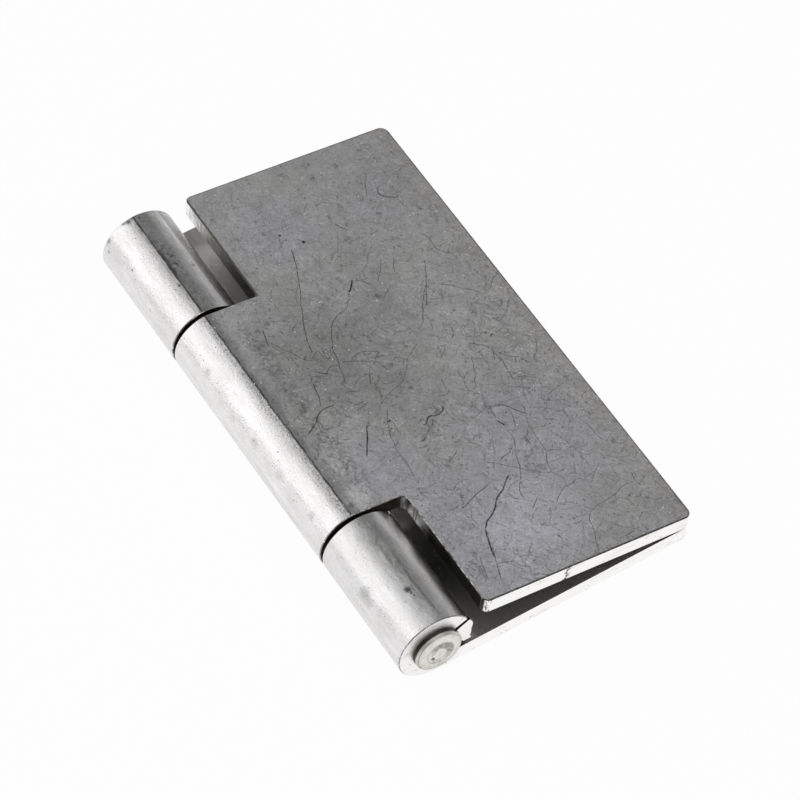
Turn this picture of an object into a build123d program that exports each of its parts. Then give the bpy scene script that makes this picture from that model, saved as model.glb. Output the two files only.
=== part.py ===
"""Plain butt hinge for welding on: two leaves of 3 mm steel sheet with rolled knuckles, on a staked pin.

Frame: origin on the pin axis at the middle of its length, +Y along the pin, +Z up, both leaves
towards +X. The lower leaf lies flat. The upper leaf is folded down onto it, free edge on free edge.
"""
import os
from math import asin, atan2, degrees, hypot

from build123d import *

# driving dimensions, mm
length = 100.0           # each leaf, along the pin
width = 50.0             # pin axis to the free edge of a leaf
sheet = 3.0              # sheet thickness
bore_r = 4.05            # inside of the knuckles
pin_r = 4.0
notch_edge = 8.7         # pin axis to the back of a notch
free_corner_r = 1.5      # leaf corners at the free edge
end_corner_r = 1.2       # leaf corners beside a notch
near_root_r = 1.6        # inner corners of the notches in the near half
far_root_r = 0.8         # and in the far half
edge_break = 0.15        # outer edges, broken where the punch entered
tip_gap = 1.5            # between a curl's cut end and its own leaf
tip_round = 0.9          # outer corner of that end

# knuckles and leaf ends, along the pin
lower_knuckles = [(-50.0, -25.45), (25.2, 50.0)]
upper_knuckles = [(-24.65, 24.45)]
lower_ends = (-length / 2, length / 2)
upper_ends = (-length / 2 - 0.15, length / 2 - 0.15)

upper_face = 6.85        # pin axis to the upper leaf's outer face, pressed in past its own barrel
crease_r = 2.0           # where that face runs into the barrel
pressed_r = 7.5          # rounding by which the far knuckle's pressed flat runs back into its barrel
closed_gap = 0.15        # between the free edges of the closed leaves

# split across the near knuckle's end face, with a lip sprung out beyond it
split_angle = 24.5
split_inner_width = 0.95
split_outer_width = 0.65
split_depth = 0.8
lip_angle = 12.0
lip_r = 2.2
lip_from_axis = 5.1
burr = [(5.2, -2.75), (6.75, -2.75), (6.85, -2.35), (5.2, -1.8)]

# nick in the near end of the upper leaf
nick_x = 24.8
nick_width = 0.7
nick_depth = 0.4

# pin ends, upset against the outer knuckles
head_r = 4.4
head_length = 1.3
head_break = 0.25
stake_r = 2.0            # ring left by the staking punch
stake_width = 0.9
stake_depth = 0.2
stake_centre = (0.1, -0.5)
pit_r = 0.27             # small conical punch mark inside the ring, near end only
pit_tip_r = 0.06
pit_depth = 0.35
pit_centre = (-1.27, -1.14)

barrel_r = bore_r + sheet
upper_inside = upper_face - sheet
# the upper leaf slopes down until its inner corner meets the lower leaf
closed_angle = degrees(asin((bore_r - closed_gap) / hypot(width, upper_inside))
                       + atan2(upper_inside, width))


def area(x, y):
    """Rectangle between limits."""
    return Pos(sum(x) / 2, sum(y) / 2) * Rectangle(x[1] - x[0], y[1] - y[0])


def along_pin(section, y):
    """Section drawn in x and z, carried along the pin between the limits y."""
    return Pos(0, y[1], 0) * Rot(90, 0, 0) * extrude(section, amount=y[1] - y[0])


def near(a, b):
    return abs(a - b) < 0.001


def curl(face, y):
    """Rolled knuckle with its neck, for a leaf whose outer face is at z = -face."""
    inside = sheet - face
    cut_end = inside + tip_gap
    ring = Circle(barrel_r) - area((-barrel_r, barrel_r), (-2 * barrel_r, -face))
    ring -= area((0, 2 * barrel_r), (-2 * barrel_r, cut_end))
    ring = fillet(ring.vertices().sort_by(Axis.X)[-1], tip_round)
    section = ring + area((0, notch_edge), (-face, inside)) - Circle(bore_r)
    if face < barrel_r:
        crease = section.vertices().filter_by(lambda v: v.X < 0 and near(v.Y, -face))
        section = fillet(crease, crease_r)
    return along_pin(section, y)


def outline(knuckles, ends):
    """Plan of the leaf with the necks of its knuckles, corners rounded."""
    plan = area((notch_edge, width), ends)
    for y in knuckles:
        plan += area((0, notch_edge), y)
    free = plan.vertices().filter_by(lambda v: near(v.X, width))
    plan = fillet(free, free_corner_r)
    beside_notch = plan.vertices().filter_by(lambda v: near(v.X, notch_edge))
    at_ends = beside_notch.filter_by(lambda v: near(v.Y, ends[0]) or near(v.Y, ends[1]))
    roots = [v for v in beside_notch if v not in at_ends]
    plan = fillet([v for v in roots if v.Y < 0], near_root_r)
    roots = plan.vertices().filter_by(lambda v: near(v.X, notch_edge) and 0 < v.Y < ends[1] - end_corner_r)
    plan = fillet(roots, far_root_r)
    if at_ends:
        beside_notch = plan.vertices().filter_by(lambda v: near(v.X, notch_edge))
        at_ends = beside_notch.filter_by(lambda v: near(v.Y, ends[0]) or near(v.Y, ends[1]))
        plan = fillet(at_ends, end_corner_r)
    return plan


def on_outer_skin(edge, face):
    """Edge of the leaf's outer face, or of a knuckle's outside at one of its ends."""
    points = [edge @ t for t in (0, 0.5, 1)]
    crosswise = near(points[0].Y, points[2].Y)
    on_face = all(near(p.Z, -face) for p in points)
    on_barrel = all(near(hypot(p.X, p.Z), barrel_r) for p in points)
    return (on_face and (crosswise or points[0].X > notch_edge - 2 * near_root_r)) or (on_barrel and crosswise)


def leaf(face, knuckles, ends):
    """Flat leaf and rolled knuckles as one sheet, outer face down."""
    body = Pos(0, 0, -face) * extrude(outline(knuckles, ends), amount=sheet)
    body -= along_pin(Circle(bore_r), (-length, length))
    for y in knuckles:
        body += curl(face, y)
    return chamfer(body.edges().filter_by(lambda e: on_outer_skin(e, face)), edge_break)


def pressed_off():
    """What pressing took off the far knuckle: flat up to its middle, then rounding down into the barrel."""
    over_flat = area((-barrel_r, 0), (upper_face, 2 * barrel_r))
    over_rounding = area((0, barrel_r), (0, 2 * barrel_r)) - Pos(0, upper_face - pressed_r) * Circle(pressed_r)
    return over_flat + over_rounding


def sprung_lip():
    """End of the near curl beyond its split, sprung out a little, with a burr at the tip."""
    lip = Rot(0, 0, lip_angle) * Pos(lip_from_axis, 0) * Circle(lip_r) - Circle((bore_r + barrel_r) / 2)
    return lip + Polygon(*burr, align=None)


def make_lower_leaf():
    body = leaf(barrel_r, lower_knuckles, lower_ends)
    body -= Rot(0, closed_angle, 0) * along_pin(pressed_off(), lower_knuckles[1])
    split_end = (-length / 2, -length / 2 + split_depth)
    body += along_pin(sprung_lip(), split_end)
    split = Polygon((bore_r - 0.5, -split_inner_width / 2), (barrel_r + 0.5, -split_outer_width / 2),
                    (barrel_r + 0.5, split_outer_width / 2), (bore_r - 0.5, split_inner_width / 2), align=None)
    return body - along_pin(Rot(0, 0, split_angle) * split, split_end)


def make_upper_leaf():
    body = mirror(leaf(upper_face, upper_knuckles, upper_ends), about=Plane.XY)
    nick = Polygon((-nick_width / 2, -nick_depth), (nick_width / 2, -nick_depth), (0, nick_depth), align=None)
    body -= Pos(nick_x, upper_ends[0], 0) * extrude(nick, amount=2 * sheet + barrel_r)
    return Rot(0, closed_angle, 0) * body


def make_pin():
    end = length / 2 + head_length
    head = Pos(0, 0, end - head_length / 2) * Cylinder(head_r, head_length)
    head = chamfer(head.edges().sort_by(Axis.Z)[-1], head_break)
    groove = Polygon((stake_r - stake_width / 2, 0), (stake_r, -stake_depth), (stake_r + stake_width / 2, 0),
                     align=None)
    groove = revolve(Plane.XZ * groove, Axis.Z)
    head -= Pos(stake_centre[0], stake_centre[1], end) * groove
    pin = Cylinder(pin_r, length) + head + mirror(head, about=Plane.XY)
    pit = Cone(pit_tip_r, 2 * pit_r - pit_tip_r, 2 * pit_depth)
    pin -= Pos(pit_centre[0], pit_centre[1], end) * pit
    return Rot(90, 0, 0) * pin


os.makedirs("parts", exist_ok=True)
export_step(make_lower_leaf(), "parts/lower_leaf.step")
export_step(make_upper_leaf(), "parts/upper_leaf.step")
export_step(make_pin(), "parts/hinge_pin.step")
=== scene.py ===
"""Plain butt hinge, closed and lying on its lower leaf: steel finishes, lamps, floor and camera."""

from math import asin, atan2, cos, hypot, pi, radians, sin

import bpy
from mathutils import Matrix, Vector

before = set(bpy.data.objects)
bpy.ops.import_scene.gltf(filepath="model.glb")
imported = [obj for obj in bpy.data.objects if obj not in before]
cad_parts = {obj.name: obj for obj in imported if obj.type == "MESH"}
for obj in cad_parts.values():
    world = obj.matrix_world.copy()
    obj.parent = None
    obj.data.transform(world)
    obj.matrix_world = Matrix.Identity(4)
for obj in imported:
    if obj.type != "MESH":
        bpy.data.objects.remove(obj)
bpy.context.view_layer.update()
scene = bpy.context.scene

# sizes that the finishes need, in mm
BARREL_R = 7.05
BORE_R = 4.05
SHEET = 3.0
HALF_LENGTH = 50.0
UPPER_FACE = 6.85
FLAT_EDGE = (BARREL_R ** 2 - UPPER_FACE ** 2) ** 0.5
UNDERSIDE = UPPER_FACE - SHEET
CLOSED = asin((BORE_R - 0.15) / hypot(HALF_LENGTH, UNDERSIDE)) + atan2(UNDERSIDE, HALF_LENGTH)
FLOOR = -0.00705
PER_DEGREE = BARREL_R * pi / 180.0
NICK = 24.8  # from the pin's axis along the upper leaf's near end
SPLIT = 24.5  # degrees round the pin

# colours of bare steel, as tints of grey
NEUTRAL = (1.0, 1.0, 1.0)
WARM = (1.0, 0.985, 0.955)
VIOLET = (0.98, 0.97, 1.04)
BROWN = (1.0, 0.9, 0.76)
PINK = (1.0, 0.975, 0.985)


# node helpers

def put(tree, kind, values=None, **settings):
    node = tree.nodes.new(kind)
    for name, value in settings.items():
        setattr(node, name, value)
    for name, value in (values or {}).items():
        if isinstance(value, bpy.types.NodeSocket):
            tree.links.new(value, node.inputs[name])
        else:
            node.inputs[name].default_value = value
    return node


def calc(tree, op, a, b=0.0, c=0.0, clamp=False):
    return put(tree, "ShaderNodeMath", {0: a, 1: b, 2: c}, operation=op, use_clamp=clamp).outputs[0]


def product(tree, first, *others):
    for other in others:
        first = calc(tree, "MULTIPLY", first, other)
    return first


def highest(tree, first, *others):
    for other in others:
        first = calc(tree, "MAXIMUM", first, other)
    return first


def inverse(tree, value):
    return calc(tree, "SUBTRACT", 1.0, value)


def vec(tree, op, a, b=None, scale=None):
    values = {0: a}
    if b is not None:
        values[1] = b
    if scale is not None:
        values["Scale"] = scale
    node = put(tree, "ShaderNodeVectorMath", values, operation=op)
    return node.outputs["Value" if op in ("LENGTH", "DISTANCE", "DOT_PRODUCT") else "Vector"]


def split(tree, vector):
    return put(tree, "ShaderNodeSeparateXYZ", {0: vector}).outputs


def turned(tree, vector, angle, axis="Y_AXIS"):
    node = put(tree, "ShaderNodeVectorRotate", {"Vector": vector, "Angle": angle}, rotation_type=axis)
    return node.outputs[0]


def span(tree, value, low, high, to_low=0.0, to_high=1.0, kind="SMOOTHSTEP"):
    """Value from low to high becomes to_low to to_high, and stays inside them."""
    values = {"Value": value, "From Min": low, "From Max": high, "To Min": to_low, "To Max": to_high}
    node = put(tree, "ShaderNodeMapRange", values, interpolation_type=kind, clamp=kind == "LINEAR")
    return node.outputs[0]


def band(tree, value, middle, half, soft):
    """1 within half of the middle value, falling to 0 over soft."""
    off = calc(tree, "ABSOLUTE", calc(tree, "SUBTRACT", value, middle))
    return span(tree, off, half, half + soft, 1.0, 0.0)


def noise(tree, where, scale, detail=3.0, rough=0.5):
    values = {"Vector": where, "Scale": scale, "Detail": detail, "Roughness": rough}
    return put(tree, "ShaderNodeTexNoise", values).outputs[0]


def stir(tree, where, scale, depth):
    """A random vector, depth wide, that turns straight lines and round edges uneven."""
    values = {"Vector": where, "Scale": scale, "Detail": 4.0, "Roughness": 0.7}
    colour = put(tree, "ShaderNodeTexNoise", values).outputs["Color"]
    return vec(tree, "SCALE", vec(tree, "SUBTRACT", colour, (0.5, 0.5, 0.5)), scale=depth)


def about_one(tree, value, depth):
    """A noise value as a factor near 1, depth wide."""
    return calc(tree, "MULTIPLY_ADD", value, depth, 1.0 - depth / 2)


def mix(tree, factor, a, b):
    return put(tree, "ShaderNodeMix", {0: factor, 6: a, 7: b}, data_type="RGBA").outputs[2]


def blend(tree, factor, a, b):
    return put(tree, "ShaderNodeMix", {0: factor, 2: a, 3: b}, data_type="FLOAT").outputs[0]


def grey(v, tint=NEUTRAL):
    return (v * tint[0], v * tint[1], v * tint[2], 1.0)


def stretched(tree, where, x, y, z):
    return put(tree, "ShaderNodeMapping", {"Vector": where, "Scale": (x, y, z)}).outputs[0]


def shifted(tree, where, seed):
    return vec(tree, "ADD", where, (seed * 17.3, seed * 9.1, seed * 3.7))


def material(name):
    m = bpy.data.materials.new(name)
    m.use_nodes = True
    m.node_tree.nodes.clear()
    return m, m.node_tree


def steel_output(tree, colour, metal, roughness, height, distance):
    bump = put(tree, "ShaderNodeBump", {"Height": height, "Strength": 1.0, "Distance": distance})
    shader = put(tree, "ShaderNodeBsdfPrincipled", {"Base Color": colour, "Metallic": metal,
                                                    "Roughness": roughness, "Normal": bump.outputs[0]})
    put(tree, "ShaderNodeOutputMaterial", {"Surface": shader.outputs[0]})


# marks of handling

def hairline_group():
    """Thin arc scratch: 1 on the line, 0 away from it."""
    group = bpy.data.node_groups.new("hairline", "ShaderNodeTree")
    for name, kind in (("Place", "Vector"), ("Centre", "Vector"), ("Middle", "Vector"), ("Radius", "Float"),
                       ("Fading", "Float"), ("Gone", "Float"), ("Width", "Float"), ("Strength", "Float")):
        group.interface.new_socket(name, in_out="INPUT", socket_type="NodeSocket" + kind)
    group.interface.new_socket("Line", in_out="OUTPUT", socket_type="NodeSocketFloat")
    given = group.nodes.new("NodeGroupInput").outputs
    off = vec(group, "DISTANCE", given["Place"], given["Centre"])
    off = calc(group, "ABSOLUTE", calc(group, "SUBTRACT", off, given["Radius"]))
    across = span(group, off, 0.0, given["Width"], given["Strength"], 0.0)
    along = vec(group, "DISTANCE", given["Place"], given["Middle"])
    along = span(group, along, given["Fading"], given["Gone"], 1.0, 0.0)
    put(group, "NodeGroupOutput", {"Line": calc(group, "MULTIPLY", across, along)})
    return group


HAIRLINE = hairline_group()

# scratches on the upper leaf: strength, half width, points from the pin axis and along it, mm
SCRATCHES = [
    (0.8, 0.14, [(5.6, 17.0), (5.1, 15.3), (4.7, 13.6)]),
    (0.7, 0.12, [(14.5, 19.2), (13.3, 16.7), (12.0, 13.6), (11.2, 11.3), (10.8, 9.2)]),
    (0.65, 0.11, [(20.4, 15.0), (18.3, 14.0), (16.6, 12.4), (15.2, 10.0), (14.1, 7.9), (13.7, 5.4),
                 (13.2, 4.0), (12.9, 2.4), (12.4, 0.7)]),
    (0.5, 0.1, [(5.3, 14.2), (6.6, 11.8), (7.7, 10.1), (8.4, 8.6), (9.6, 7.4)]),
    (0.6, 0.1, [(11.4, 8.8), (10.4, 8.2), (9.6, 7.5)]),
    (0.65, 0.11, [(10.6, 3.9), (11.3, 4.6), (12.0, 4.9), (12.8, 4.8), (13.3, 4.2)]),
    (0.85, 0.17, [(9.3, 4.7), (9.9, 4.2), (10.6, 3.8)]),
    (0.45, 0.1, [(7.7, 5.4), (8.7, 5.5), (9.4, 5.5)]),
    (0.55, 0.1, [(14.4, 5.0), (16.4, 4.1), (18.4, 3.1), (19.5, 2.6), (20.0, 1.7), (20.1, 0.8),
                 (20.2, -0.1)]),
    (0.6, 0.11, [(15.9, 4.6), (17.1, 5.3), (18.5, 5.5), (20.0, 4.8), (21.3, 4.0)]),
    (0.55, 0.1, [(18.6, 5.2), (18.7, 4.3), (18.5, 3.2)]),
    (0.4, 0.09, [(11.2, 2.7), (12.9, 1.9), (14.7, 1.3)]),
    (0.55, 0.1, [(13.3, -0.7), (14.2, 0.1), (15.3, 0.6), (16.1, 0.6), (16.9, 0.4)]),
    (0.7, 0.12, [(17.0, 0.5), (16.5, -0.5), (16.0, -1.3)]),
    (0.5, 0.1, [(11.8, -1.2), (12.9, -1.7), (13.8, -2.0)]),
    (0.5, 0.14, [(10.8, -3.5), (11.5, -4.3), (13.0, -4.1)]),
    (0.65, 0.12, [(7.2, 2.6), (6.9, 1.4), (6.7, 0.2), (6.2, -1.2), (5.8, -2.0)]),
    (0.8, 0.13, [(7.8, -2.8), (6.7, -2.7), (5.3, -3.0), (4.3, -3.6), (3.5, -4.5), (2.2, -5.5),
                 (0.8, -6.3)]),
    (0.5, 0.1, [(3.7, -4.6), (3.3, -5.7), (3.1, -6.6)]),
    (0.45, 0.1, [(7.3, -2.8), (7.8, -4.0), (6.9, -4.7)]),
    (0.5, 0.1, [(8.6, -4.9), (8.7, -5.9), (9.2, -6.5)]),
    (1.0, 0.16, [(10.6, -9.3), (9.1, -11.8), (7.3, -14.7)]),
    (0.35, 0.09, [(12.9, -6.2), (11.9, -7.7), (10.9, -9.1)]),
    (0.55, 0.11, [(15.7, -7.5), (14.8, -9.1), (13.9, -10.9), (13.2, -12.5), (12.9, -14.3), (12.4, -17.2),
                 (12.5, -18.7), (12.3, -20.5), (12.1, -22.0)]),
    (1.0, 0.26, [(14.3, -10.0), (14.6, -10.0), (15.0, -9.9)]),
    (0.65, 0.11, [(15.1, -10.5), (14.9, -11.4), (14.8, -12.6)]),
    (1.0, 0.18, [(24.6, -11.2), (23.3, -12.3), (22.1, -12.3), (21.3, -12.1), (20.7, -12.4), (20.1, -13.0),
                 (19.5, -13.3)]),
    (0.7, 0.13, [(21.5, -12.8), (21.0, -13.7), (20.1, -14.3), (19.0, -15.1), (17.6, -16.2)]),
    (0.5, 0.1, [(33.9, 10.5), (32.9, 8.6), (31.9, 7.0), (30.9, 6.1), (30.1, 5.7)]),
    (0.45, 0.1, [(32.8, 7.9), (32.8, 6.6), (32.3, 4.6)]),
    (0.5, 0.1, [(27.9, 2.8), (26.2, 1.6), (24.8, 0.6), (23.7, -0.8), (22.3, -2.5), (20.7, -3.7),
                 (18.9, -4.2), (17.3, -4.9), (15.1, -6.3)]),
    (0.5, 0.1, [(23.2, 1.7), (24.1, 1.0), (24.7, 0.2)]),
    (0.5, 0.1, [(18.1, -2.3), (19.2, -2.7), (20.2, -2.7)]),
    (0.45, 0.1, [(31.0, 1.0), (30.9, -0.1), (30.6, -1.0)]),
    (0.5, 0.1, [(32.0, 0.2), (31.0, -1.0), (30.1, -1.6)]),
    (0.5, 0.1, [(27.6, -5.7), (27.3, -7.3), (27.4, -8.8), (26.2, -9.1), (25.0, -8.9)]),
    (0.5, 0.1, [(32.5, -6.6), (30.9, -7.8), (30.5, -9.3)]),
    (0.4, 0.1, [(10.8, -17.2), (11.6, -17.3), (12.4, -17.3)]),
    (0.45, 0.1, [(20.0, 8.9), (21.5, 8.2), (23.1, 8.6)]),
    (0.45, 0.1, [(12.8, 9.3), (12.4, 8.0), (12.3, 6.7)]),
    (0.5, 0.1, [(14.3, 7.8), (13.2, 7.0), (12.4, 6.4)]),
    (0.35, 0.09, [(16.7, 16.4), (15.3, 15.0), (14.1, 14.1)]),
    (0.5, 0.12, [(0.1, -2.7), (1.4, -2.2), (2.2, -1.9)]),
    (1.0, 0.18, [(26.5, -29.1), (25.2, -30.1), (24.1, -31.2), (22.1, -32.4), (20.7, -34.0), (19.1, -35.1),
                 (17.9, -35.8), (17.1, -36.9), (16.2, -38.7), (15.7, -40.3), (15.1, -42.5)]),
    (0.8, 0.12, [(22.6, -29.1), (21.0, -29.6), (19.3, -30.1), (18.1, -30.6), (16.8, -31.2)]),
    (0.6, 0.14, [(15.7, -31.5), (16.3, -31.4), (16.8, -31.4)]),
    (0.75, 0.12, [(27.1, -25.7), (28.1, -25.1), (29.3, -24.9), (30.1, -24.6), (30.6, -24.4)]),
    (0.6, 0.1, [(24.5, -24.7), (25.7, -25.6), (26.9, -26.6), (28.4, -28.0), (29.8, -29.2), (31.2, -30.3),
                 (32.4, -31.4)]),
    (0.7, 0.11, [(29.6, -27.4), (28.7, -29.3), (27.7, -31.0), (26.5, -32.7), (26.3, -34.0)]),
    (0.55, 0.11, [(31.7, -22.3), (31.2, -23.7), (30.4, -24.9), (30.0, -26.0), (29.6, -27.4)]),
    (0.45, 0.1, [(31.5, -20.6), (31.8, -21.7), (31.3, -23.4)]),
    (0.5, 0.1, [(34.4, -17.2), (33.9, -19.1), (33.2, -20.7)]),
    (0.8, 0.13, [(32.9, -15.0), (34.1, -15.6), (35.1, -16.7), (35.7, -17.7), (36.4, -18.7)]),
    (0.5, 0.1, [(35.5, -16.0), (36.7, -16.6), (36.4, -18.5)]),
    (0.8, 0.2, [(31.2, -18.1), (31.6, -18.8), (31.8, -19.3)]),
    (0.6, 0.11, [(34.9, -21.9), (33.9, -23.0), (32.6, -23.1)]),
    (0.5, 0.1, [(36.5, -18.7), (35.8, -20.7), (35.4, -22.1), (35.4, -23.8), (35.3, -25.7), (35.1, -27.2),
                 (34.2, -29.0), (33.8, -30.2), (33.5, -31.6)]),
    (0.35, 0.09, [(29.3, -29.9), (30.9, -30.0), (32.6, -29.9), (34.3, -29.7), (36.4, -29.8)]),
    (0.55, 0.1, [(33.5, -31.8), (34.2, -32.8), (34.7, -34.0)]),
    (0.6, 0.11, [(30.8, -37.4), (32.0, -36.4), (33.0, -35.6), (34.0, -35.3), (35.6, -35.2)]),
    (0.55, 0.1, [(35.6, -35.2), (36.4, -34.8), (37.5, -35.5), (38.0, -36.1), (38.4, -36.6)]),
    (0.45, 0.1, [(38.4, -36.6), (39.9, -35.1), (41.6, -33.7)]),
    (0.6, 0.11, [(26.5, -36.8), (27.3, -36.1), (28.4, -35.2)]),
    (0.5, 0.1, [(29.0, -38.3), (28.4, -39.4), (27.5, -40.5)]),
    (0.45, 0.1, [(25.8, -40.3), (26.9, -41.2), (28.3, -41.5)]),
    (0.55, 0.1, [(33.6, -43.2), (34.5, -42.1), (35.8, -41.4), (37.1, -41.1), (38.9, -40.9), (40.4, -40.5),
                 (42.1, -39.7), (43.6, -39.5), (44.9, -39.5)]),
    (0.5, 0.1, [(33.6, -43.2), (33.4, -44.4), (33.1, -45.5), (32.2, -47.3), (31.2, -49.6)]),
    (0.35, 0.09, [(30.3, -41.6), (31.9, -41.7), (34.2, -41.9)]),
    (0.55, 0.1, [(44.4, -24.1), (44.8, -25.6), (44.8, -27.2), (45.1, -28.9), (45.7, -30.0)]),
    (0.5, 0.1, [(47.3, -20.0), (48.6, -19.3), (49.5, -19.6)]),
    (0.4, 0.1, [(45.7, -30.0), (47.1, -29.2), (48.4, -28.5)]),
    (0.4, 0.1, [(46.9, -30.7), (48.9, -31.4), (49.4, -30.7)]),
    (0.5, 0.1, [(45.4, -40.1), (45.4, -38.8), (45.8, -37.7)]),
    (0.5, 0.11, [(30.8, -42.6), (31.6, -42.9), (32.4, -42.6)]),
    (0.5, 0.1, [(42.9, -20.5), (42.7, -22.1), (42.3, -23.9)]),
    (0.6, 0.1, [(42.3, -16.9), (43.9, -16.4), (46.0, -15.9)]),
    (0.5, 0.11, [(36.1, -48.7), (38.1, -48.6), (40.2, -48.2)]),
    (0.6, 0.22, [(27.0, -43.6), (27.2, -44.0), (27.3, -44.4)]),
    (0.75, 0.12, [(21.4, -20.6), (20.2, -21.5), (19.0, -22.0)]),
    (0.45, 0.1, [(15.9, -26.1), (15.7, -27.0), (16.7, -27.5), (17.7, -26.7), (19.7, -26.6)]),
    (0.35, 0.1, [(17.0, -32.3), (15.9, -33.2), (14.9, -34.0)]),
    (0.4, 0.1, [(38.0, -27.3), (38.7, -27.5), (39.5, -27.4)]),
    (0.35, 0.09, [(44.1, -32.9), (45.6, -34.0), (47.1, -34.6), (47.7, -34.4), (48.5, -34.1)]),
    (0.35, 0.09, [(29.4, -19.2), (28.4, -21.0), (27.0, -24.2)]),
    (0.3, 0.09, [(25.8, -15.4), (25.3, -17.5), (24.5, -19.4)]),
    (0.65, 0.11, [(39.0, 12.7), (40.8, 11.4), (41.9, 10.0), (43.4, 9.2), (44.2, 8.0)]),
    (0.45, 0.1, [(46.7, 8.5), (45.6, 7.9), (44.6, 7.6)]),
    (0.6, 0.1, [(49.5, 10.8), (48.1, 9.9), (46.7, 8.5)]),
    (0.45, 0.1, [(35.4, 10.6), (37.0, 10.1), (40.0, 9.3)]),
    (0.65, 0.1, [(36.2, -0.9), (37.7, -2.2), (39.1, -3.9)]),
    (0.6, 0.12, [(39.3, -3.7), (38.7, -5.0), (38.3, -6.0)]),
    (0.55, 0.1, [(36.1, -3.6), (37.3, -3.9), (38.5, -4.2)]),
    (0.65, 0.11, [(39.1, -3.9), (39.1, -5.8), (39.4, -7.2), (39.0, -9.2), (38.8, -11.2)]),
    (0.55, 0.1, [(39.7, -4.9), (40.5, -6.2), (41.9, -7.2), (42.8, -8.3), (42.9, -9.5)]),
    (0.45, 0.1, [(38.8, -11.2), (40.2, -11.3), (41.4, -12.0)]),
    (0.55, 0.1, [(38.2, 3.9), (39.3, 3.0), (39.0, 1.7), (38.5, 0.8), (37.7, -0.4)]),
    (0.65, 0.12, [(35.2, 3.2), (35.1, 2.5), (34.3, 1.4)]),
    (0.55, 0.12, [(41.7, 3.1), (42.1, 2.6), (42.3, 1.8)]),
    (0.7, 0.16, [(40.4, -1.4), (40.8, -1.1), (41.1, -1.0)]),
    (0.5, 0.12, [(47.1, -5.4), (46.4, -6.8), (45.2, -8.2), (44.6, -8.8), (44.4, -9.5)]),
    (0.5, 0.1, [(35.0, -3.8), (34.4, -5.2), (33.8, -6.3), (33.4, -7.6), (32.6, -8.6), (32.2, -9.5),
                 (31.1, -10.4)]),
    (0.55, 0.11, [(31.0, -6.4), (30.9, -7.8), (30.6, -8.7), (30.6, -9.8), (30.9, -10.4)]),
    (0.4, 0.1, [(32.6, -6.3), (31.7, -7.0), (30.9, -7.8)]),
    (0.55, 0.11, [(30.8, -11.1), (31.6, -11.5), (32.0, -12.5)]),
    (0.4, 0.1, [(40.2, -11.4), (39.7, -12.9), (39.0, -14.3)]),
    (0.35, 0.09, [(43.3, 15.7), (42.7, 14.3), (42.6, 12.9)]),
    (0.35, 0.09, [(40.1, 5.3), (41.1, 6.0), (42.6, 6.7)]),
    (0.7, 0.11, [(19.5, 31.0), (18.8, 28.6), (17.9, 26.3), (16.7, 23.4), (14.8, 19.9)]),
    (0.5, 0.1, [(16.6, 23.5), (15.0, 21.9), (14.1, 19.5)]),
    (1.0, 0.17, [(25.4, 20.3), (24.5, 19.0), (23.5, 18.1)]),
    (0.65, 0.12, [(25.8, 20.0), (27.0, 19.3), (27.7, 18.2)]),
    (0.5, 0.1, [(23.9, 17.2), (22.9, 16.3), (21.9, 15.4)]),
    (0.5, 0.1, [(22.1, 16.3), (21.1, 15.1), (19.6, 14.5)]),
    (0.6, 0.11, [(39.2, 18.6), (37.9, 15.9), (36.3, 13.3), (35.2, 11.4), (34.2, 9.8)]),
    (0.55, 0.11, [(36.2, 13.3), (34.6, 11.4), (32.0, 7.5)]),
    (0.6, 0.11, [(42.4, 24.3), (42.8, 22.3), (42.6, 20.6), (43.1, 19.6), (44.6, 18.1)]),
    (0.65, 0.14, [(29.6, 32.9), (30.2, 31.9), (30.9, 30.9)]),
    (0.4, 0.12, [(29.6, 28.1), (31.1, 28.2), (32.5, 28.1)]),
    (0.45, 0.13, [(33.9, 28.0), (34.9, 28.2), (35.7, 28.5)]),
    (0.5, 0.2, [(41.0, 37.3), (40.5, 35.6), (41.7, 34.5), (42.5, 33.9), (43.4, 34.0)]),
    (0.6, 0.12, [(47.4, 29.7), (46.9, 28.5), (47.6, 28.2)]),
    (0.4, 0.1, [(39.9, 39.7), (39.1, 38.3), (38.1, 36.2)]),
    (0.4, 0.14, [(18.9, 34.1), (18.4, 33.0), (17.8, 32.2)]),
    (0.4, 0.09, [(19.9, 42.5), (19.9, 41.2), (19.9, 40.0)]),
    (0.35, 0.09, [(29.0, 31.4), (28.0, 29.4), (26.6, 27.0)]),
    (0.4, 0.1, [(33.1, 25.9), (31.7, 24.8), (30.2, 23.1), (28.9, 21.7), (27.5, 21.2)]),
    (0.45, 0.1, [(32.4, 22.1), (31.0, 20.0), (29.5, 18.3)]),
    (0.45, 0.1, [(34.6, 21.4), (33.8, 20.0), (33.0, 18.3)]),
    (0.4, 0.1, [(30.8, 16.3), (29.1, 15.0), (26.8, 13.1)]),
    (0.4, 0.09, [(15.8, 15.7), (17.6, 17.5), (19.7, 18.1)]),
    (0.4, 0.1, [(11.7, 24.5), (11.0, 23.6), (10.8, 22.8)]),
    (0.4, 0.1, [(35.9, 23.5), (35.8, 22.9), (37.4, 23.3)]),
    (0.65, 0.13, [(15.8, -40.9), (15.1, -42.8), (13.6, -46.9)]),
    (0.6, 0.13, [(12.9, -41.8), (12.3, -43.5), (11.7, -45.8)]),
    (0.55, 0.13, [(14.6, -44.1), (16.2, -44.5), (17.3, -44.8)]),
]
SCRATCH_WIDENING = 1.3  # on the screen a hairline spreads beyond its own width

# small dark spots on the upper leaf: place, radius and strength
SPOTS = [((22.4, 31.7), 0.34, 1.0), ((21.8, -5.2), 0.5, 0.45), ((19.4, 34.8), 0.3, 0.8),
         ((19.8, 33.4), 0.22, 0.5)]

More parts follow.
